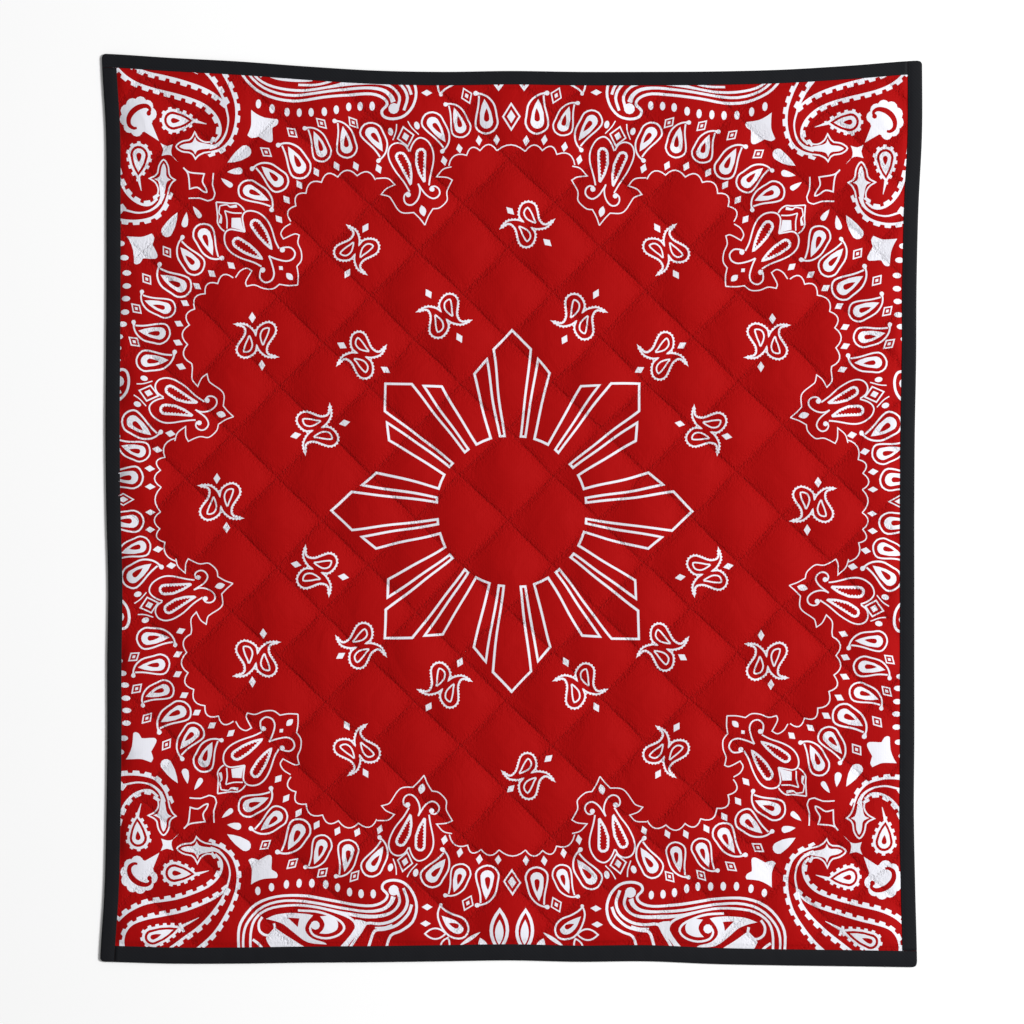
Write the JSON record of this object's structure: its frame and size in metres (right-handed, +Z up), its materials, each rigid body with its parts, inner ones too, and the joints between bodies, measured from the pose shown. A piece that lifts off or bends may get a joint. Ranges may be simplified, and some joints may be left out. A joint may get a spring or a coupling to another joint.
{
  "type": "printed quilt",
  "caption": "Double-bed quilt with a printed face, sewn through in diamonds and bound all round with folded black strips, lying flat.",
  "frame": {"origin": "middle of the underside, in the plane of the surface that the quilt lies on", "axes": "+X to the right of the printed face, +Y to its top edge along the quilt's length, +Z up out of the printed face"},
  "size_m": [1.8096, 2.0104, 0.0121],
  "materials": {
    "printed_cloth": "matt woven polyester, red ground printed in white",
    "binding_cloth": "plain matt black woven strip"
  },
  "bodies": {
    "root": {"quilted_panel": "printed_cloth", "binding_top": "binding_cloth", "binding_bottom": "binding_cloth", "binding_left": "binding_cloth", "binding_right": "binding_cloth"}
  },
  "joints": []
}
